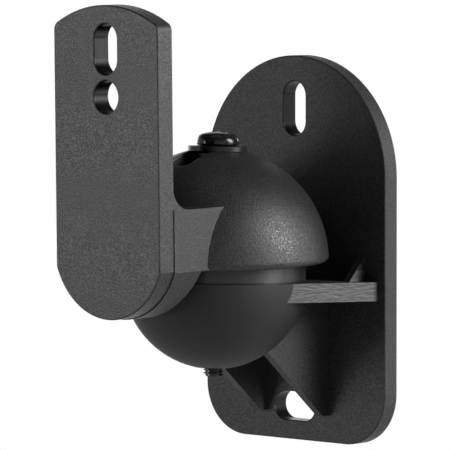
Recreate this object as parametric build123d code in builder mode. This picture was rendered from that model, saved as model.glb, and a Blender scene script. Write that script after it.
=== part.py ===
from build123d import *
from math import cos, radians, sin, sqrt, tan
import os

# Speaker wall bracket: a plate on the wall carries half a ball, a dome turns on the half ball,
# a capped arm tilts on the dome and holds the speaker, and one long screw clamps them.
# Millimetres. The wall is the plane y = 0, the speaker is at -Y, and +Z is up.
# The origin is on the wall, midway between the two screw slots.

# Wall plate
plate_half_width = 30.0
plate_top = 50.8
plate_bottom = -46.0
plate_thick = 4.5
plate_corner = 13.0
edge_round = 0.4

# Screw slots in the wall plate, the upper one upright and the lower one level
slot_pitch = 75.0
slot_length = 13.6
slot_width = 7.2

# Ball axis, which leans back to the wall, and the seam that the dome turns on
reach = 33.9
seam_z = -3.9
lean = 1.8
ball_radius = 22.8
ball_rise = 0.7
bowl_wall = 3.0
boss_radius = 7.0
register_radius = 5.0
register_height = 2.0

# Shelf that carries the ball, and the ribs above and below it
shelf_thick = 4.7
shelf_half_width = 27.9
shelf_taper = 11.9
fin_x = 10.3
fin_thick = 2.2
fin_tip_z = -39.1
fin_tip_depth = 2.2
fin_slope = 40.4
fin_tip_round = 0.9
gusset_x = 22.6
gusset_thick = 2.0
gusset_out = 6.2
gusset_up = 6.6

# Dome
dome_radius = 22.4
skirt_height = 4.7
dome_wall = 2.6
dome_boss_radius = 8.0
seam_groove_height = 0.4
seam_groove_depth = 0.7
key_width = 6.6
key_length = 9.0
key_recess = 1.6

# Speaker arm: cap, neck and speaker plate in one moulding
cap_radius = 28.0
cap_wall = 3.5
cap_skirt = 0.4
land_angle = 60.0
rim_round = 1.5
tilt_slot_angle = 30.0
tilt_slot_corner = 2.2
tilt_slot_round = 0.35
arm_tilt = 0.67
arm_reach = 38.3
speaker_plate_thick = 5.0
speaker_plate_half_width = 17.3
speaker_plate_rise = 64.0
crown_radius = 33.0
crown_corner = 2.2
foot_radius = 18.35
foot_centre = 6.5
neck_rise = 15.0
neck_proud = 0.25
neck_relief = 1.5
neck_fillet = 5.4

# Fixing holes in the speaker plate, above the tilt axis
speaker_hole_radius = 4.0
speaker_hole_rise = 41.9
speaker_slot_length = 12.3
speaker_slot_width = 7.5
speaker_slot_margin = 4.45

# Clamp screw, washer and nut
screw_radius = 2.5
head_radius = 5.3
head_height = 3.4
head_crown_radius = 14.0
head_corner = 2.2
head_foot_round = 0.5
recess_span = 4.8
recess_width = 1.25
recess_depth = 2.3
recess_lead = 0.2
recess_taper = 8
screw_tail = 1.8
tail_chamfer = 0.4
washer_radius = 7.4
washer_rim = 1.15
washer_web = 0.5
nut_flats = 8.0
nut_height = 4.0
nut_recess = 1.0

# Clearances
ball_clear = 0.15
washer_clear = 0.1
register_clear = 0.1
key_clear = 0.1
screw_hole_clear = 0.25
thread_clear = 0.05
washer_hole_clear = 0.15
nut_clear = 0.1
head_clear = 0.02

# Planes and axes: the seat holds the seam, and the pivot is the centre of dome and cap.
# The arm's planes are upright, and the finished arm is tipped about the tilt axis.
up = (0, sin(radians(lean)), cos(radians(lean)))
seat = Plane(origin=(0, -reach, seam_z), x_dir=(1, 0, 0), z_dir=up)
seat_section = Plane(origin=seat.origin, x_dir=(1, 0, 0), z_dir=(0, -up[2], up[1]))
swivel_axis = Axis(seat.origin, up)
pivot = seat.offset(skirt_height).origin
arm_front = Plane(origin=pivot, x_dir=(1, 0, 0), z_dir=(0, -1, 0))
arm_side = Plane(origin=pivot, x_dir=(0, 1, 0), z_dir=(1, 0, 0))
arm_axis = Axis(pivot, (0, 0, 1))
tilt_axis = Axis(pivot, (1, 0, 0))


def on_sphere(radius, distance):
    """Height above a sphere's centre of the point this far from its upright axis."""
    return sqrt(radius**2 - distance**2)


# Sizes that follow
crown_z = plate_top - plate_half_width
wall_face_distance = (reach - plate_thick) / cos(radians(lean))
screw_hole_radius = screw_radius + screw_hole_clear
ball_bottom = ball_rise - ball_radius
nut_top = ball_bottom + nut_recess + nut_height
land_radius = dome_radius + ball_clear
key_top = cap_radius - key_recess
beyond_cap = 2 * cap_radius
tilt_slot_width = key_width + 2 * key_clear
washer_seat = cap_radius + washer_clear
washer_hole_radius = screw_radius + washer_hole_clear
washer_hole_z = skirt_height + on_sphere(washer_seat, washer_hole_radius)
washer_edge_z = skirt_height + on_sphere(washer_seat, washer_radius)
head_z = washer_hole_z + washer_web + head_clear
head_top_z = head_z + head_height
speaker_slot_rise = speaker_plate_rise - speaker_slot_margin - speaker_slot_length / 2

# The wall bracket is one moulding: plate, shelf, ribs and the lower half of the ball
with BuildPart() as wall_bracket:
    with BuildSketch(Plane.XZ):
        with Locations((0, crown_z)):
            Circle(plate_half_width)
            Rectangle(2 * plate_half_width, crown_z - plate_bottom, align=(Align.CENTER, Align.MAX))
        fillet(vertices().group_by(Axis.Y)[0], plate_corner)
        with Locations((0, slot_pitch / 2)):
            SlotOverall(slot_length, slot_width, rotation=90, mode=Mode.SUBTRACT)
        with Locations((0, -slot_pitch / 2)):
            SlotOverall(slot_length, slot_width, mode=Mode.SUBTRACT)
    extrude(amount=plate_thick)
    fillet(edges().group_by(Axis.Y)[0], edge_round)

    # Shelf, level with the seam
    with BuildSketch(seat):
        root = wall_face_distance + plate_thick / 2
        root_half = shelf_half_width + plate_thick / 2 * tan(radians(shelf_taper))
        nose_half = shelf_half_width - wall_face_distance * tan(radians(shelf_taper))
        Polygon((-nose_half, 0), (nose_half, 0), (root_half, root), (-root_half, root), align=None)
    extrude(amount=-shelf_thick)

    # Fins under the shelf, cut at a slope from the plate up to the ball
    fin_back = -plate_thick / 2
    fin_front = -plate_thick - fin_tip_depth
    fin_top_z = seam_z - shelf_thick / 2
    fin_slope_top_z = fin_tip_z + (reach + fin_front) * tan(radians(fin_slope))
    for side in (-1, 1):
        with BuildSketch(Plane.YZ.offset(side * fin_x)):
            Polygon(
                (fin_back, fin_tip_z),
                (fin_front, fin_tip_z),
                (-reach, fin_slope_top_z),
                (-reach, fin_top_z),
                (fin_back, fin_top_z),
                align=None,
            )
            fillet(vertices().group_by(Axis.Y)[0].sort_by(Axis.X)[0], fin_tip_round)
        extrude(amount=fin_thick / 2, both=True)

    # Gussets above the shelf, in its two corners with the plate
    shelf_root = seat.from_local_coords((0, wall_face_distance, 0))
    for side in (-1, 1):
        with BuildSketch(Plane.YZ.offset(side * gusset_x)):
            Polygon(
                (-plate_thick / 2, shelf_root.Z - shelf_thick / 2),
                (-plate_thick - gusset_out, shelf_root.Z - shelf_thick / 2),
                (-plate_thick - gusset_out, shelf_root.Z),
                (-plate_thick, shelf_root.Z + gusset_up),
                (-plate_thick / 2, shelf_root.Z + gusset_up),
                align=None,
            )
        extrude(amount=gusset_thick / 2, both=True)

    # Lower half of the ball, hollow, with a boss round the clamp screw
    with BuildSketch(seat_section):
        with Locations((0, ball_rise)):
            Circle(ball_radius)
        Rectangle(ball_radius, ball_radius, align=(Align.MIN, Align.MAX), mode=Mode.INTERSECT)
    revolve(axis=swivel_axis)
    bowl_radius = ball_radius - bowl_wall
    with BuildSketch(seat_section):
        with Locations((0, ball_rise)):
            Circle(bowl_radius)
        Rectangle(bowl_radius, bowl_radius, align=(Align.MIN, Align.MAX), mode=Mode.INTERSECT)
        Rectangle(boss_radius, bowl_radius, align=(Align.MIN, Align.MAX), mode=Mode.SUBTRACT)
    revolve(axis=swivel_axis, mode=Mode.SUBTRACT)
    with BuildSketch(seat):
        Circle(register_radius)
    extrude(amount=register_height)
    with BuildSketch(seat.offset(register_height)):
        Circle(screw_hole_radius)
    extrude(amount=-register_height - ball_radius - plate_thick, mode=Mode.SUBTRACT)
    with BuildSketch(seat.offset(nut_top)):
        RegularPolygon(nut_flats / 2 + nut_clear, 6, major_radius=False)
    extrude(amount=-ball_radius, mode=Mode.SUBTRACT)
wall_bracket.part.label = "wall_bracket"

# Hexagon nut, held in the pocket under the boss
with BuildPart() as nut:
    with BuildSketch(seat.offset(nut_top)):
        RegularPolygon(nut_flats / 2, 6, major_radius=False)
        Circle(screw_radius + thread_clear, mode=Mode.SUBTRACT)
    extrude(amount=-nut_height)
nut.part.label = "nut"

# Dome: the upper half of the ball, a shell with a skirt, a boss and a key for the arm's slot
with BuildPart() as dome:
    inner_radius = dome_radius - dome_wall
    with BuildSketch(seat_section):
        with BuildLine():
            socket = register_radius + register_clear
            socket_top = register_height + register_clear
            groove = dome_radius - seam_groove_depth
            inner_top = skirt_height + on_sphere(inner_radius, dome_boss_radius)
            outer_top = skirt_height + on_sphere(dome_radius, screw_hole_radius)
            Polyline((socket, 0), (dome_boss_radius, 0), (dome_boss_radius, inner_top))
            RadiusArc((dome_boss_radius, inner_top), (inner_radius, skirt_height), inner_radius)
            Polyline(
                (inner_radius, skirt_height),
                (inner_radius, 0),
                (groove, 0),
                (groove, seam_groove_height),
                (dome_radius, seam_groove_height),
                (dome_radius, skirt_height),
            )
            RadiusArc((screw_hole_radius, outer_top), (dome_radius, skirt_height), dome_radius)
            Polyline(
                (screw_hole_radius, outer_top),
                (screw_hole_radius, socket_top),
                (socket, socket_top),
                (socket, 0),
            )
        make_face()
    revolve(axis=swivel_axis)
    with BuildSketch(seat.offset(skirt_height + key_top)):
        Rectangle(key_width, key_length)
        Circle(screw_hole_radius, mode=Mode.SUBTRACT)
    extrude(amount=inner_radius - key_top)
dome.part.label = "dome"

# Cutter for the cap's tilt slot, which widens upward and has rounded corners
with BuildPart() as tilt_slot:
    with BuildSketch(arm_side):
        slot_low = dome_radius / 2
        slot_low_half = slot_low * tan(radians(tilt_slot_angle))
        slot_high_half = beyond_cap * tan(radians(tilt_slot_angle))
        Polygon(
            (-slot_low_half, slot_low),
            (slot_low_half, slot_low),
            (slot_high_half, beyond_cap),
            (-slot_high_half, beyond_cap),
            align=None,
        )
    extrude(amount=tilt_slot_width / 2, both=True)
    slanted = edges() - edges().filter_by(Axis.X) - edges().filter_by(Axis.Y)
    fillet(slanted, tilt_slot_corner)

# Speaker arm, upright: plate, neck and cap, hollowed for the dome and slotted for the screw
with BuildPart() as upright_arm:
    with BuildSketch(arm_front.offset(arm_reach - speaker_plate_thick)):
        half = speaker_plate_half_width
        crown_end = speaker_plate_rise - crown_radius + on_sphere(crown_radius, half)
        foot_end = foot_centre - on_sphere(foot_radius, half)
        with BuildLine():
            ThreePointArc((-half, crown_end), (0, speaker_plate_rise), (half, crown_end))
            Line((half, crown_end), (half, foot_end))
            ThreePointArc((half, foot_end), (0, foot_centre - foot_radius), (-half, foot_end))
            Line((-half, foot_end), (-half, crown_end))
        make_face()
        fillet(vertices().group_by(Axis.Y)[-1], crown_corner)
        with Locations((0, speaker_hole_rise)):
            Circle(speaker_hole_radius, mode=Mode.SUBTRACT)
        with Locations((0, speaker_slot_rise)):
            SlotOverall(speaker_slot_length, speaker_slot_width, rotation=90, mode=Mode.SUBTRACT)
    extrude(amount=speaker_plate_thick)
    fillet(faces().sort_by(Axis.Y)[0].edges(), edge_round)

    # Neck, a hair wider than the plate, with a foot parallel to the plate's
    neck_half = speaker_plate_half_width + neck_proud
    with BuildSketch(arm_front.offset(arm_reach - speaker_plate_thick)):
        with Locations((0, foot_centre)):
            Circle(foot_radius + neck_proud)
        with Locations((0, neck_rise)):
            Rectangle(
                2 * neck_half,
                neck_rise + foot_radius,
                align=(Align.CENTER, Align.MAX),
                mode=Mode.INTERSECT,
            )
        Rectangle(2 * neck_half, neck_rise, align=(Align.CENTER, Align.MIN))
    extrude(amount=-(arm_reach - speaker_plate_thick - cap_radius / 2))
    neck_corner = arm_side.from_local_coords((speaker_plate_thick - arm_reach, neck_rise, 0))
    fillet(edges().filter_by(Axis.X).sort_by_distance(neck_corner)[0], neck_fillet)

    # Below the rim the neck stands off the ball, so that it passes the half ball as it turns
    with BuildSketch(arm_front):
        Circle(cap_radius + neck_relief)
        Rectangle(beyond_cap, beyond_cap, align=(Align.MIN, Align.MAX), mode=Mode.INTERSECT)
    revolve(axis=arm_axis, mode=Mode.SUBTRACT)

    # Cap with a rounded rim
    with BuildSketch(arm_front):
        Circle(cap_radius)
        with Locations((0, -cap_skirt)):
            Rectangle(cap_radius, beyond_cap, align=(Align.MIN, Align.MIN), mode=Mode.INTERSECT)
        fillet(vertices().group_by(Axis.Y)[0].sort_by(Axis.X)[-1], rim_round)
    revolve(axis=arm_axis)

    # Hollow: a bearing land round the top, and more room below it for the tilt
    with BuildSketch(arm_front):
        Circle(cap_radius - cap_wall)
        land_x = beyond_cap * sin(radians(land_angle))
        land_y = beyond_cap * cos(radians(land_angle))
        Polygon((0, 0), (land_x, land_y), (0, beyond_cap), align=None, mode=Mode.SUBTRACT)
        Circle(land_radius)
        with Locations((0, -cap_skirt)):
            Rectangle(cap_radius, beyond_cap, align=(Align.MIN, Align.MIN), mode=Mode.INTERSECT)
    revolve(axis=arm_axis, mode=Mode.SUBTRACT)

    add(tilt_slot.part, mode=Mode.SUBTRACT)
    on_cap = edges(Select.LAST).filter_by(lambda edge: edge.distance_to(pivot) > cap_radius - edge_round)
    fillet(on_cap, tilt_slot_round)

# The arm as it was clamped, tipped forward by a hair
with BuildPart() as speaker_arm:
    add(upright_arm.part.rotate(tilt_axis, arm_tilt))
speaker_arm.part.label = "speaker_arm"

# Washer, hollowed underneath to the cap's radius so that it stays seated as the arm tilts
with BuildPart() as washer:
    with BuildSketch(seat_section):
        with BuildLine():
            inner_edge = (washer_hole_radius, washer_hole_z)
            outer_edge = (washer_radius, washer_edge_z)
            inner_rim = (washer_hole_radius, washer_hole_z + washer_web)
            outer_rim = (washer_radius, washer_edge_z + washer_rim)
            RadiusArc(inner_edge, outer_edge, washer_seat)
            Polyline(outer_edge, outer_rim, inner_rim, inner_edge)
        make_face()
    revolve(axis=swivel_axis)
washer.part.label = "washer"

# Clamp screw: crowned pan head with a cross recess, and a shank right through to below the ball
with BuildPart() as clamp_screw:
    with BuildSketch(seat_section):
        with Locations((0, head_top_z - head_crown_radius)):
            Circle(head_crown_radius)
        with Locations((0, head_z)):
            Rectangle(
                head_radius,
                head_height,
                align=(Align.MIN, Align.MIN),
                mode=Mode.INTERSECT,
            )
        rim = vertices().group_by(Axis.X)[-1]
        fillet(rim.sort_by(Axis.Y)[-1], head_corner)
        fillet(vertices().group_by(Axis.Y)[0].sort_by(Axis.X)[-1], head_foot_round)
    revolve(axis=swivel_axis)
    tail_z = ball_bottom - screw_tail
    with BuildSketch(seat.offset(tail_z)):
        Circle(screw_radius)
    extrude(amount=head_z - tail_z)
    chamfer(edges().group_by(Axis.Z)[0], tail_chamfer)
    with BuildSketch(seat.offset(head_top_z + recess_lead)):
        Rectangle(recess_span, recess_width)
        Rectangle(recess_width, recess_span)
    extrude(amount=-recess_depth - recess_lead, taper=recess_taper, mode=Mode.SUBTRACT)
clamp_screw.part.label = "clamp_screw"

# One file for each piece
os.makedirs("parts", exist_ok=True)
for piece in (wall_bracket, nut, dome, speaker_arm, washer, clamp_screw):
    export_step(piece.part, f"parts/{piece.part.label}.step")
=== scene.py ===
# %% [markdown]
# A speaker wall bracket in black moulded plastic. A plate on the wall carries half a ball, a
# dome turns on it, a capped arm tilts on the dome, and one long screw clamps them together.
# The shapes come from the CAD frame, so this lesson is mostly about finish: how one black
# plastic can look grained, smooth or streaked, and how soft light shows the difference.

# %% Load the frame
from math import cos, pi, radians, sin

import bmesh
import bpy
from mathutils import Matrix, Vector


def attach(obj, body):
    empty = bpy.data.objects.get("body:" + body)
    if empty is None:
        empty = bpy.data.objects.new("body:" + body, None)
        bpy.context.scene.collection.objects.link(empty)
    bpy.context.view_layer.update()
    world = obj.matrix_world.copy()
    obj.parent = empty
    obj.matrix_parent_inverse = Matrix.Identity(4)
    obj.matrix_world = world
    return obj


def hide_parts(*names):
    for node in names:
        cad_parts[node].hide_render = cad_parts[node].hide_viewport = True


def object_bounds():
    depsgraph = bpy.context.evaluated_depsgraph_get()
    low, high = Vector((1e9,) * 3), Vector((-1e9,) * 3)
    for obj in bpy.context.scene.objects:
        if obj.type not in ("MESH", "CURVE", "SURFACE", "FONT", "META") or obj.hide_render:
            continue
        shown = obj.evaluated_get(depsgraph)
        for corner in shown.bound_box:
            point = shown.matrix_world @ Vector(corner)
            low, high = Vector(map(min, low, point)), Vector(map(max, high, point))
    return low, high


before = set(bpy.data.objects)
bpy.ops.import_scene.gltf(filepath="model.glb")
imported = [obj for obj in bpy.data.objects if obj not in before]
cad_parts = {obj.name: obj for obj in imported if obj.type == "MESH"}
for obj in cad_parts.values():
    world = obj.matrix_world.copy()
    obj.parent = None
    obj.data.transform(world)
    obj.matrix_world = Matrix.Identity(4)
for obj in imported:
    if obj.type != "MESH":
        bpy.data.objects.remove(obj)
cad_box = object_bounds()
MM = 0.001
print("CAD box in mm:", [round(c / MM, 1) for corner in cad_box for c in corner])

# %% [markdown]
# The photograph was taken with a long lens from the bracket's right front, a little above it.
# A long lens keeps the far wall plate almost as large as the near speaker plate. The camera's
# place and turn were worked out from the edges of the two plates, so they are plain numbers.

# %% Camera
CAMERA_PLACE = Vector((749.83, -847.57, 82.89)) * MM
CAMERA_AZIMUTH = radians(42.533)
CAMERA_ELEVATION = radians(3.789)
CAMERA_ROLL = radians(-0.069)
CAMERA_LENS = 359.8
SENSOR_WIDTH = 36.0


def make_camera():
    data = bpy.data.cameras.new("camera")
    data.lens = CAMERA_LENS
    data.sensor_width = SENSOR_WIDTH
    camera = bpy.data.objects.new("camera", data)
    turn = Matrix.Rotation(CAMERA_AZIMUTH, 4, "Z")
    tip = Matrix.Rotation(pi / 2 - CAMERA_ELEVATION, 4, "X")
    roll = Matrix.Rotation(CAMERA_ROLL, 4, "Z")
    camera.matrix_world = Matrix.Translation(CAMERA_PLACE) @ turn @ tip @ roll
    bpy.context.scene.collection.objects.link(camera)
    bpy.context.scene.camera = camera
    return camera


camera = make_camera()
print("camera at", [round(c, 3) for c in camera.location], "m, lens", CAMERA_LENS, "mm")

# %% [markdown]
# Shader maths reads best as sums and products. This class wraps a node's socket, and each
# operator adds the Math node that does the work, so a mask can be written as one expression.
# The reflected forms let a plain number stand on the left, as in 1 - mask.

# %% Sockets in sums
class Socket:
    """A node's output that can be used in sums."""

    def __init__(self, nodes, socket):
        self.nodes = nodes
        self.socket = socket

    def math(self, operation, *values):
        """A Math node that works on this socket and the values."""
        inputs = dict(enumerate([self, *values]))
        return self.nodes.node("ShaderNodeMath", {"operation": operation}, inputs)

    def __add__(self, other):
        return self.math("ADD", other)

    def __sub__(self, other):
        return self.math("SUBTRACT", other)

    def __rsub__(self, other):
        return self.nodes.node("ShaderNodeMath", {"operation": "SUBTRACT"}, {0: other, 1: self})

    def __mul__(self, other):
        return self.math("MULTIPLY", other)

    def __abs__(self):
        return self.math("ABSOLUTE")

    __radd__ = __add__
    __rmul__ = __mul__

    def band(self, low, high):
        """0 at low, 1 at high, and smooth between them."""
        inputs = {"Value": self, "From Min": low, "From Max": high}
        return self.nodes.node("ShaderNodeMapRange", {"interpolation_type": "SMOOTHSTEP"}, inputs)

    def within(self, low, high, edge):
        """1 between low and high, and 0 outside, with a soft edge."""
        return self.band(low, low + edge) * (1 - self.band(high, high + edge))


print("a socket can be added, subtracted, multiplied and cut to a band")

# %% [markdown]
# A material and the world both hold a tree of nodes. One method makes any node: it sets the
# node's own settings first, because some of them change its sockets, and then each input, as a
# value or as a link. The last step joins a shader to the tree's output.

# %% Trees of nodes
class Nodes:
    """The tree of nodes of a material or of the world."""

    def __init__(self, owner, output_kind):
        self.owner = owner
        self.output_kind = output_kind
        owner.use_nodes = True
        self.tree = owner.node_tree
        self.tree.nodes.clear()

    def node(self, kind, settings=(), inputs=(), output=0):
        """A node of this kind, as the socket of the output that is asked for."""
        made = self.tree.nodes.new(kind)
        for name, value in dict(settings).items():
            setattr(made, name, value)
        for name, value in dict(inputs).items():
            if isinstance(value, Socket):
                self.tree.links.new(value.socket, made.inputs[name])
            else:
                made.inputs[name].default_value = value
        return Socket(self, made.outputs[output]) if made.outputs else None

    def split(self, vector):
        """The three coordinates of a vector, each as its own socket."""
        parts = self.node("ShaderNodeSeparateXYZ", {}, {"Vector": vector}).socket.node.outputs
        return [Socket(self, part) for part in parts]

    def light_path(self, *names):
        """1 for the kinds of ray that are named, and 0 for others."""
        total = self.node("ShaderNodeLightPath", output=names[0])
        for name in names[1:]:
            total = total.math("MAXIMUM", self.node("ShaderNodeLightPath", output=name))
        return total

    def surface(self, shader):
        """Joins the shader to the output, and gives back what the tree belongs to."""
        self.node(self.output_kind, {}, {"Surface": shader})
        return self.owner


print("one method makes every node, and a tree ends in one surface")

# %% [markdown]
# A finish is a material whose patterns follow the piece. They read Object coordinates, which
# are the frame's metres, so a grain of a third of a millimetre is written as just that.

# %% Finishes
class Finish(Nodes):
    """One material for one finish."""

    def __init__(self, name):
        super().__init__(bpy.data.materials.new(name), "ShaderNodeOutputMaterial")

    def place(self):
        """The point on the piece, in the frame's metres."""
        return self.node("ShaderNodeTexCoord", output="Object")

    def facing(self):
        """The three coordinates of the way that the surface faces."""
        return self.split(self.node("ShaderNodeTexCoord", output="Normal"))

    def stretched(self, scale):
        """The same point with each axis scaled, to draw a pattern out along one of them."""
        return self.node("ShaderNodeMapping", {}, {"Vector": self.place(), "Scale": scale})

    def noise(self, size, detail=2.0, roughness=0.5, vector=None):
        """Noise whose lumps are about this size, in metres."""
        inputs = {"Scale": 1 / size, "Detail": detail, "Roughness": roughness}
        inputs["Vector"] = vector or self.place()
        return self.node("ShaderNodeTexNoise", {}, inputs, "Fac")

    def blend(self, factor, first, second):
        """From the first colour to the second as the factor goes from 0 to 1."""
        first, second = (c if isinstance(c, Socket) else (*c, 1.0) for c in (first, second))
        inputs = {"Factor": factor, "A": first, "B": second}
        return self.node("ShaderNodeMix", {"data_type": "RGBA"}, inputs, "Result")

    def bump(self, height, depth):
        """A bump whose height of 1 stands this many metres proud."""
        return self.node("ShaderNodeBump", {}, {"Height": height, "Distance": depth})

    def principled(self, inputs):
        """Ends the finish with the shader that most real surfaces need."""
        return self.surface(self.node("ShaderNodeBsdfPrincipled", {}, inputs, "BSDF"))


print("patterns are written in metres, and 1 mm is", MM)

# %% [markdown]
# The surround is white to the camera and to what shines, as a studio's paper would be. It lights
# the bracket only faintly, because black plastic shows its shape by the lamps. Its ceiling is
# dark, so the tops of things reflect nothing bright and stay black.

# %% World
SURROUND_LIGHT = 0.06
CEILING_LIGHT = 0.05
CEILING_START = 0.2
CEILING_FULL = 0.6
WHITE = (1, 1, 1, 1)


def make_world():
    world = bpy.data.worlds.new("surround")
    bpy.context.scene.world = world
    nodes = Nodes(world, "ShaderNodeOutputWorld")
    upward = nodes.split(nodes.node("ShaderNodeTexCoord", output="Generated"))[2]
    ceiling = upward.band(CEILING_START, CEILING_FULL)
    shine = nodes.light_path("Is Glossy Ray") * (1 - ceiling * (1 - CEILING_LIGHT))
    seen = nodes.light_path("Is Camera Ray", "Is Transmission Ray").math("MAXIMUM", shine)
    strength = seen.math("MAXIMUM", SURROUND_LIGHT)
    nodes.surface(nodes.node("ShaderNodeBackground", {}, {"Color": WHITE, "Strength": strength}))
    return world


bpy.context.scene.view_settings.view_transform = "Standard"
world = make_world()
print(world.name, "lights at", SURROUND_LIGHT, "and shows white")

# %% [markdown]
# A pale floor lies under the bracket and keeps its shadow. A plain disc would show its edge, so
# towards its rim it glows up to white for the camera alone, and melts into the surround. From
# below it lets the light and the eye through, so that a view from there shows the bracket.

# %% Floor
FLOOR_DROP = 70 * MM
FLOOR_RADIUS = 0.55
FLOOR_SEGMENTS = 96
FLOOR_GREY = (0.8, 0.8, 0.8, 1)
FADE_START = 0.5 * FLOOR_RADIUS
FADE_END = 0.9 * FLOOR_RADIUS
NEAR_GLOW = 0.35


def floor_finish():
    finish = Finish("pale_floor")
    inputs = {0: finish.place()}
    spread = finish.node("ShaderNodeVectorMath", {"operation": "LENGTH"}, inputs, "Value")
    fade = spread.band(FADE_START, FADE_END)
    glow = finish.light_path("Is Camera Ray") * (fade * (1 - NEAR_GLOW) + NEAR_GLOW)
    matt = finish.node("ShaderNodeBsdfDiffuse", {}, {"Color": FLOOR_GREY})
    light = finish.node("ShaderNodeEmission", {}, {"Color": WHITE, "Strength": glow})
    top = finish.node("ShaderNodeAddShader", {}, {0: matt, 1: light})
    below = finish.node("ShaderNodeNewGeometry", output="Backfacing")
    clear = finish.node("ShaderNodeBsdfTransparent")
    return finish.surface(finish.node("ShaderNodeMixShader", {}, {0: below, 1: top, 2: clear}))


def make_floor():
    bm = bmesh.new()
    bmesh.ops.create_circle(bm, cap_ends=True, segments=FLOOR_SEGMENTS, radius=FLOOR_RADIUS)
    centre = (cad_box[0] + cad_box[1]) / 2
    foot = Vector((centre.x, centre.y, cad_box[0].z - FLOOR_DROP))
    bmesh.ops.translate(bm, verts=bm.verts, vec=foot)
    mesh = bpy.data.meshes.new("floor")
    bm.to_mesh(mesh)
    bm.free()
    floor = bpy.data.objects.new("floor", mesh)
    bpy.context.scene.collection.objects.link(floor)
    mesh.materials.append(floor_finish())
    return floor


floor = make_floor()
print(floor.name, "lies", FLOOR_DROP / MM, "mm under the bracket")

# %% [markdown]
# Lamps are easier to set by what they do than by watts. An area lamp of (pi x distance) squared
# watts lights a white card that faces it to a level of 1, so each lamp is given a level, and the
# direction that it shines from. They all stand at one distance and point at the middle.

# %% Soft lamps
LAMP_DISTANCE = 0.9
FULL_POWER = (pi * LAMP_DISTANCE) ** 2


def make_lamp(name, azimuth, elevation, level, width, height):
    """A soft lamp that lights a white card facing it to this level."""
    data = bpy.data.lights.new(name, "AREA")
    data.shape = "RECTANGLE"
    data.size = width
    data.size_y = height
    data.energy = level * FULL_POWER
    lamp = bpy.data.objects.new(name, data)
    aim = (cad_box[0] + cad_box[1]) / 2
    az, el = radians(azimuth), radians(elevation)
    back = Vector((sin(az) * cos(el), -cos(az) * cos(el), sin(el)))
    lamp.rotation_mode = "QUATERNION"
    lamp.rotation_quaternion = back.to_track_quat("Z", "Y")
    lamp.location = aim + back * LAMP_DISTANCE
    bpy.context.scene.collection.objects.link(lamp)
    print(f"{name}: {data.energy:.1f} W")
    return lamp


print(f"a level of 1 is {FULL_POWER:.1f} W at {LAMP_DISTANCE} m")

# %% [markdown]
# Two lights do what the photograph's did. The front one stands low and a little to the left, so
# the ball shades the wall plate beside it. The side one stands at the right and behind the wall,
# so it lights every edge that faces right and rakes over the cap. It is three lamps along one
# slanting line, which draws its highlight on the cap out the same way. Three weak lamps behind,
# at the left and above show the sides that the photograph doesn't, and hardly reach what it does.

# %% Where the lamps stand
make_lamp("front_lamp", azimuth=-26, elevation=3, level=0.78, width=0.3, height=0.4)
make_lamp("side_lamp", azimuth=117, elevation=22, level=1.25, width=0.35, height=0.45)
make_lamp("side_lamp_high", azimuth=110, elevation=27, level=0.42, width=0.3, height=0.4)
make_lamp("side_lamp_low", azimuth=122, elevation=10, level=0.5, width=0.3, height=0.4)
make_lamp("back_lamp", azimuth=185, elevation=0, level=0.2, width=0.5, height=0.4)
make_lamp("left_lamp", azimuth=250, elevation=0, level=0.2, width=0.4, height=0.4)
make_lamp("top_lamp", azimuth=0, elevation=88, level=0.05, width=0.5, height=0.5)

# %% [markdown]
# The arm and the wall bracket come from moulds with a spark-eroded finish, which leaves a fine
# matt grain. It could be a picture of grain, but noise has no seams and fits any shape. One
# noise makes the grain, and a coarser one lets it catch the light unevenly. The pits are darker,
# duller and lower than what stands round them. Noise keeps near its middle, so a narrow band of
# it is drawn out to the full range.

# %% Grain
GRAIN = 0.33 * MM
GRAIN_DEPTH = 0.043 * MM
GLOSS_OF_TOPS = 0.16
NOISE_RANGE = (0.3, 0.7)
PATCH = 9 * MM
PATCH_SHARE = 0.2
PATCH_GLOSS = 0.06


def grey(value):
    """The plastic is a neutral black, so one number is enough for a colour."""
    return (value, value, value)


def moulded(finish, dark, pale, gloss):
    """The grain's height, from 0 in the pits to 1 on the tops, its colour and its roughness."""
    grain = finish.noise(GRAIN, detail=3.0, roughness=0.6).band(*NOISE_RANGE)
    patches = finish.noise(PATCH)
    paleness = grain * (1 - PATCH_SHARE) + patches * PATCH_SHARE
    colour = finish.blend(paleness, grey(dark), grey(pale))
    rough = patches * PATCH_GLOSS + gloss - grain * GLOSS_OF_TOPS
    return grain, colour, rough


print("grain", round(GRAIN / MM, 2), "mm across and", round(GRAIN_DEPTH / MM, 3), "mm deep")

# %% [markdown]
# The walls of the screw holes are smooth, because the pins that form them in the mould are
# ground. They are also painted as dark as the grain's pits, as painted shade inside the holes.
# Their faces could be picked out by hand, but a mask finds them on any mesh, by place and by the
# way they face: near the centre line, between two heights, and not facing forward or back, as
# the plates do.

# %% Hole walls
HOLE_GLOSS = 0.22
MASK_EDGE = 0.2 * MM
SIDEWAYS = (0.3, 0.5)


def hole_walls(finish, half_width, foot, head):
    """1 on the walls of the holes from foot to head and near the centre line, 0 elsewhere."""
    x, _, z = finish.split(finish.place())
    _, facing_y, _ = finish.facing()
    sideways = 1 - abs(facing_y).band(*SIDEWAYS)
    near = 1 - abs(x).band(half_width, half_width + MASK_EDGE)
    return sideways * near * z.within(foot, head, MASK_EDGE)


print("the walls of the holes have a roughness of", HOLE_GLOSS)

# %% [markdown]
# The arm is grained all over, apart from its two holes. The highest tops of its grain are rubbed
# shiny, which gives the highlight on the cap its fine speckle. A thin coat on the tops alone
# does that, and leaves the pits as matt as they were.

# %% Speaker arm
SPEAKER_HOLES = (4.5 * MM, 36 * MM, 61.5 * MM)
TOP_RANGE = (0.5, 0.95)
TOP_SHEEN = 0.26
TOP_GLOSS = 0.3


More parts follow.
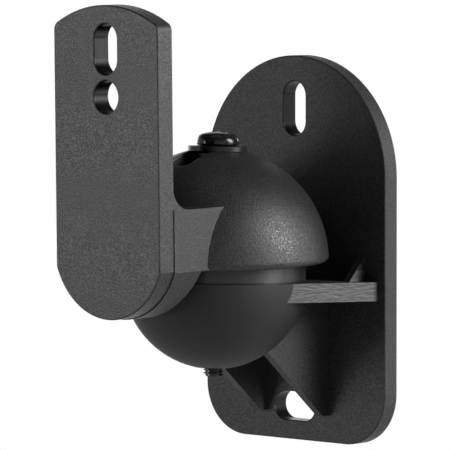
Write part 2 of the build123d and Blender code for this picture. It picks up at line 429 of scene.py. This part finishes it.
def grained_plastic(name, dark, pale, gloss, specular):
    finish = Finish(name)
    grain, colour, rough = moulded(finish, dark, pale, gloss)
    smooth_shaded_holes = hole_walls(finish, *SPEAKER_HOLES)
    return finish.principled({
        # The hole walls get the pits' dark colour: painted shade inside the holes.
        "Base Color": finish.blend(smooth_shaded_holes, colour, grey(dark)),
        "Roughness": rough * (1 - smooth_shaded_holes) + smooth_shaded_holes * HOLE_GLOSS,
        "Specular IOR Level": specular,
        "Coat Weight": grain.band(*TOP_RANGE) * (1 - smooth_shaded_holes) * TOP_SHEEN,
        "Coat Roughness": TOP_GLOSS,
        "Normal": finish.bump(grain * (1 - smooth_shaded_holes), GRAIN_DEPTH),
    })


arm_finish = grained_plastic("arm_plastic_grain", dark=0.002, pale=0.026, gloss=0.4, specular=0.21)
print(arm_finish.name, "has", len(arm_finish.node_tree.nodes), "nodes")

# %% [markdown]
# The two ends of the shelf are where the mould opened. The plastic there is paler, and drawn out
# in streaks along the shelf. The mask takes what faces left or right at the shelf's height, far
# out from the centre line and in front of the wall plate, so the plate's edges keep their grain.

# %% Shelf ends
SHELF_LOW = -12 * MM
SHELF_HIGH = -2 * MM
SHELF_BACK = -5 * MM
SHELF_INSIDE = 20 * MM
ACROSS = (0.8, 0.9)


def shelf_ends(finish):
    """1 on the two ends of the shelf, and 0 elsewhere."""
    x, y, z = finish.split(finish.place())
    facing_x, _, _ = finish.facing()
    across = abs(facing_x).band(*ACROSS)
    outside = abs(x).band(SHELF_INSIDE, SHELF_INSIDE + MASK_EDGE)
    in_front = 1 - y.band(SHELF_BACK, SHELF_BACK + MASK_EDGE)
    return across * z.within(SHELF_LOW, SHELF_HIGH, MASK_EDGE) * outside * in_front


print("streaks on the shelf's ends, from", SHELF_LOW / MM, "to", SHELF_HIGH / MM, "mm")

# %% [markdown]
# The part of the mould that forms the half ball was polished, so the ball is smooth. Nothing
# else on the wall bracket lies within the ball's radius of its centre, so the distance to that
# centre is all that its mask needs. The centre lies on the screw's axis, which leans a little,
# and just above the middle of the seam where the dome turns on the ball.

# %% Half ball
SCREW_LEAN = radians(1.8)
SCREW_AXIS = Vector((0, sin(SCREW_LEAN), cos(SCREW_LEAN)))
SCREW_SEAT = Vector((0, -33.9, -3.9)) * MM
BALL_RISE = 0.7 * MM
BALL_CENTRE = SCREW_SEAT + SCREW_AXIS * BALL_RISE
BALL_RADIUS = 22.8 * MM


def half_ball(finish):
    """1 on the half ball, and 0 elsewhere."""
    inputs = {0: finish.place(), 1: BALL_CENTRE}
    distance = finish.node("ShaderNodeVectorMath", {"operation": "DISTANCE"}, inputs, "Value")
    return 1 - distance.band(BALL_RADIUS, BALL_RADIUS + MASK_EDGE)


print("ball's centre in mm:", [round(c / MM, 2) for c in BALL_CENTRE])

# %% [markdown]
# On the wall bracket the masks blend four kinds of surface: grain, the smooth ball, the streaked
# ends and the walls of the slots. Each has its own colour and relief, and the ball and the slots
# have their own gloss too. The slots' walls are painted dark, as painted shade inside the slots.
# The relief is added up as one height in metres, so that one bump node is enough for all of it.

# %% Wall bracket
UPPER_SLOT = (4 * MM, 30 * MM, 45 * MM)
LOWER_SLOT = (7.5 * MM, -42 * MM, -33 * MM)
STREAK = 0.5 * MM
STREAK_STRETCH = 0.04
STREAK_DEPTH = 0.05 * MM
STREAK_CONTRAST = 0.5
DUST = 0.25 * MM
DUST_DEPTH = 0.004 * MM
DUST_GLOSS = 0.08
BALL_SHEEN = 0.26
METRE = 1.0


def wall_plastic(name, dark, pale, smooth, streaked, gloss, smooth_gloss, specular):
    finish = Finish(name)
    grain, colour, rough = moulded(finish, dark, pale, gloss)
    stretched = finish.stretched((1, STREAK_STRETCH, 1))
    streaks = finish.noise(STREAK, vector=stretched).band(*NOISE_RANGE)
    dust = finish.noise(DUST)
    ball = half_ball(finish)
    ends = shelf_ends(finish) * (1 - ball)
    smooth_shaded_holes = hole_walls(finish, *UPPER_SLOT).math("MAXIMUM", hole_walls(finish, *LOWER_SLOT))
    colour = finish.blend(ball, colour, grey(smooth))
    # The slots' walls get the pits' dark colour: painted shade inside the slots.
    colour = finish.blend(smooth_shaded_holes, colour, grey(dark))
    drawn = ends * (streaks * STREAK_CONTRAST + (1 - STREAK_CONTRAST))
    grained = 1 - ends - ball - smooth_shaded_holes
    height = grain * grained * GRAIN_DEPTH + streaks * ends * STREAK_DEPTH
    height = height + dust * ball * DUST_DEPTH
    polished = (dust * DUST_GLOSS + smooth_gloss) * ball
    return finish.principled({
        "Base Color": finish.blend(drawn, colour, grey(streaked)),
        "Roughness": rough * (1 - ball - smooth_shaded_holes) + polished + smooth_shaded_holes * HOLE_GLOSS,
        "Specular IOR Level": specular,
        "Coat Weight": ball * BALL_SHEEN,
        "Coat Roughness": smooth_gloss,
        "Normal": finish.bump(height, METRE),
    })


wall_finish = wall_plastic(
    "wall_plastic_grain", dark=0.003, pale=0.034, smooth=0.004, streaked=0.06,
    gloss=0.47, smooth_gloss=0.58, specular=0.13)
print(wall_finish.name, "has streaks", round(STREAK / STREAK_STRETCH / MM, 1), "mm long")

# %% [markdown]
# The dome that turns on the half ball came from a polished mould too. Its plastic has hardly any
# grain, and soft broad ripples where it shrank as it cooled. The ripples are too shallow for a
# bump to show, so they only shift the colour a little. A much finer noise dulls the gloss evenly.

# %% Dome
RIPPLE = 4 * MM


def smooth_plastic(name, dark, pale, gloss, specular):
    finish = Finish(name)
    ripples = finish.noise(RIPPLE, detail=1.0).band(*NOISE_RANGE)
    dust = finish.noise(DUST)
    return finish.principled({
        "Base Color": finish.blend(ripples, grey(dark), grey(pale)),
        "Roughness": dust * DUST_GLOSS + gloss,
        "Specular IOR Level": specular,
        "Normal": finish.bump(dust, DUST_DEPTH),
    })


dome_finish = smooth_plastic(
    "dome_plastic_smooth", dark=0.006, pale=0.009, gloss=0.34, specular=0.31)
print(dome_finish.name, "has ripples", RIPPLE / MM, "mm across")

# %% [markdown]
# The screw and its washer are steel with a black coat. The coat is dark and slightly uneven, and
# only its sharpest highlights are bright. The nut is bright zinc, which clouds where it is thick.
# One function makes all three, because they differ only in colour, gloss and bare metal.

# %% Coated steel
CLOUD = 0.8 * MM
CLOUD_RANGE = (0.35, 0.65)
CLOUD_GLOSS = 0.12
SCRATCH = 0.2 * MM
SCRATCH_DEPTH = 0.003 * MM


def coated_steel(name, colour, dull_colour, gloss, metallic, specular):
    finish = Finish(name)
    cloud = finish.noise(CLOUD, detail=3.0)
    scratches = finish.noise(SCRATCH, detail=1.0)
    clouded = cloud.band(*CLOUD_RANGE)
    return finish.principled({
        "Base Color": finish.blend(clouded, grey(colour), grey(dull_colour)),
        "Roughness": cloud * CLOUD_GLOSS + gloss,
        "Metallic": metallic,
        "Specular IOR Level": specular,
        "Normal": finish.bump(scratches, SCRATCH_DEPTH),
    })


screw_finish = coated_steel(
    "black_steel_coat", colour=0.004, dull_colour=0.01, gloss=0.1, metallic=0.0, specular=0.2)
washer_finish = coated_steel(
    "washer_coat", colour=0.005, dull_colour=0.011, gloss=0.28, metallic=0.0, specular=0.16)
nut_finish = coated_steel(
    "zinc_steel_coat", colour=0.6, dull_colour=0.5, gloss=0.25, metallic=1.0, specular=0.5)
print("steel:", screw_finish.name, washer_finish.name, nut_finish.name)

# %% [markdown]
# Each piece of the frame gets its finish in its material slots. The pieces themselves aren't
# moved or changed, because their shapes and places are the CAD's.

# %% Dress the pieces
def dress(node, finish):
    """Gives a piece of the frame its finish, in every material slot."""
    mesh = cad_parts[node].data
    mesh.materials.clear()
    mesh.materials.append(finish)
    print(node, "is finished in", finish.name)


dress("speaker_arm", arm_finish)
dress("wall_bracket", wall_finish)
dress("dome", dome_finish)
dress("washer", washer_finish)
dress("clamp_screw", screw_finish)
dress("nut", nut_finish)

# %% [markdown]
# The frame's screw has a plain shank, and only its tail shows, below the ball. There the shank is
# cut off and a threaded one takes its place: a core with a chamfered end, and one ridge wound
# round it. All its heights are measured up the screw's axis from the seam of the ball.

# %% Core of the thread
THREAD_TOP = -16 * MM
THREAD_FOOT = -23.9 * MM
THREAD_ROOT = 2.02 * MM
TAIL_CHAMFER = 0.35 * MM
STEPS = 48


def on_screw(rise, out=0.0):
    """The point this far up the screw's axis from the seam, and this far out from it."""
    return SCREW_SEAT + SCREW_AXIS * rise + Vector((1, 0, 0)) * out


def add_core(bm):
    """The core of the thread, a cylinder with a chamfered foot."""
    core = bmesh.ops.create_cone(
        bm, cap_ends=True, segments=STEPS, radius1=THREAD_ROOT, radius2=THREAD_ROOT,
        depth=THREAD_TOP - THREAD_FOOT)["verts"]
    foot = [v for v in core if v.co.z < 0]
    foot_edges = [e for e in bm.edges if e.verts[0] in foot and e.verts[1] in foot]
    bmesh.ops.bevel(
        bm, geom=foot_edges, offset=TAIL_CHAMFER, affect="EDGES", segments=1, profile=0.5,
        material=-1)
    turn = Vector((0, 0, 1)).rotation_difference(SCREW_AXIS).to_matrix().to_4x4()
    place = Matrix.Translation(on_screw((THREAD_TOP + THREAD_FOOT) / 2)) @ turn
    bmesh.ops.transform(bm, matrix=place, verts=bm.verts)


print("core", round((THREAD_TOP - THREAD_FOOT) / MM, 1), "mm long")

# %% [markdown]
# A thread could be drawn as a stack of rings, but a real one is a single ridge that climbs. It
# starts as one flat face, the thread's profile. Spin sweeps it round the screw's axis and lifts
# it a little at each step, so that it climbs by the pitch at each turn. Its foot lies just inside
# the core, so no gap shows between them.

# %% Ridge of the thread
THREAD_PITCH = 0.8 * MM
THREAD_CREST = 2.47 * MM
THREAD_SINK = 0.1 * MM
ROOT_HALF = 0.33 * MM
CREST_HALF = 0.06 * MM
THREAD_START = THREAD_FOOT + TAIL_CHAMFER
THREAD_TURNS = (THREAD_TOP - THREAD_START - ROOT_HALF) / THREAD_PITCH


def add_ridge(bm):
    """The ridge, swept up round the core from the chamfer to the thread's top."""
    inner = THREAD_ROOT - THREAD_SINK
    profile = [
        on_screw(THREAD_START - ROOT_HALF, inner),
        on_screw(THREAD_START - CREST_HALF, THREAD_CREST),
        on_screw(THREAD_START + CREST_HALF, THREAD_CREST),
        on_screw(THREAD_START + ROOT_HALF, inner),
    ]
    verts = [bm.verts.new(point) for point in profile]
    first = bm.faces.new(verts)
    steps = round(STEPS * THREAD_TURNS)
    bmesh.ops.spin(
        bm, geom=[first, *verts, *first.edges], cent=SCREW_SEAT, axis=SCREW_AXIS,
        angle=THREAD_TURNS * 2 * pi, steps=steps,
        dvec=SCREW_AXIS * (THREAD_TURNS * THREAD_PITCH / steps))


print("ridge:", round(THREAD_TURNS, 1), "turns")

# %% [markdown]
# The rest of the screw is a copy of the frame's, so that its head and recess stay as they are.
# The frame's mesh is loose triangles, so the copy is merged first, then cut square across the
# axis where the thread begins, and closed there.

# %% Plain shank and head
MERGE_DISTANCE = 0.001 * MM


def plain_screw():
    """The frame's screw from its head down to the thread, as a mesh."""
    bm = bmesh.new()
    bm.from_mesh(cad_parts["clamp_screw"].data)
    bmesh.ops.remove_doubles(bm, verts=bm.verts, dist=MERGE_DISTANCE)
    cut = bmesh.ops.bisect_plane(
        bm, geom=[*bm.verts, *bm.edges, *bm.faces], plane_co=on_screw(THREAD_TOP),
        plane_no=SCREW_AXIS, clear_inner=True)["geom_cut"]
    rim = [e for e in cut if isinstance(e, bmesh.types.BMEdge)]
    bmesh.ops.holes_fill(bm, edges=rim)
    bmesh.ops.recalc_face_normals(bm, faces=bm.faces)
    mesh = bpy.data.meshes.new("threaded_screw")
    bm.to_mesh(mesh)
    bm.free()
    return mesh


shank = plain_screw()
print("head and shank:", len(shank.polygons), "faces")

# %% [markdown]
# The core, the ridge and the plain screw go into one mesh, which rides on the screw's body and
# replaces the plain screw. Its faces are shaded smooth, apart from edges sharper than 30 degrees.

# %% Threaded screw
SHARP_ANGLE = radians(30)


def make_threaded_screw(mesh):
    """The plain screw's mesh with the thread added, as the piece that is seen."""
    bm = bmesh.new()
    add_core(bm)
    add_ridge(bm)
    bmesh.ops.recalc_face_normals(bm, faces=bm.faces)
    print("thread:", len(bm.faces), "faces")
    bm.from_mesh(mesh)
    bm.to_mesh(mesh)
    bm.free()
    mesh.materials.append(screw_finish)
    for face in mesh.polygons:
        face.use_smooth = True
    mesh.set_sharp_from_angle(angle=SHARP_ANGLE)
    screw = bpy.data.objects.new("threaded_screw", mesh)
    bpy.context.scene.collection.objects.link(screw)
    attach(screw, "screw")
    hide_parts("clamp_screw")
    return screw


screw = make_threaded_screw(shank)
print(screw.name, "has", len(screw.data.polygons), "faces")
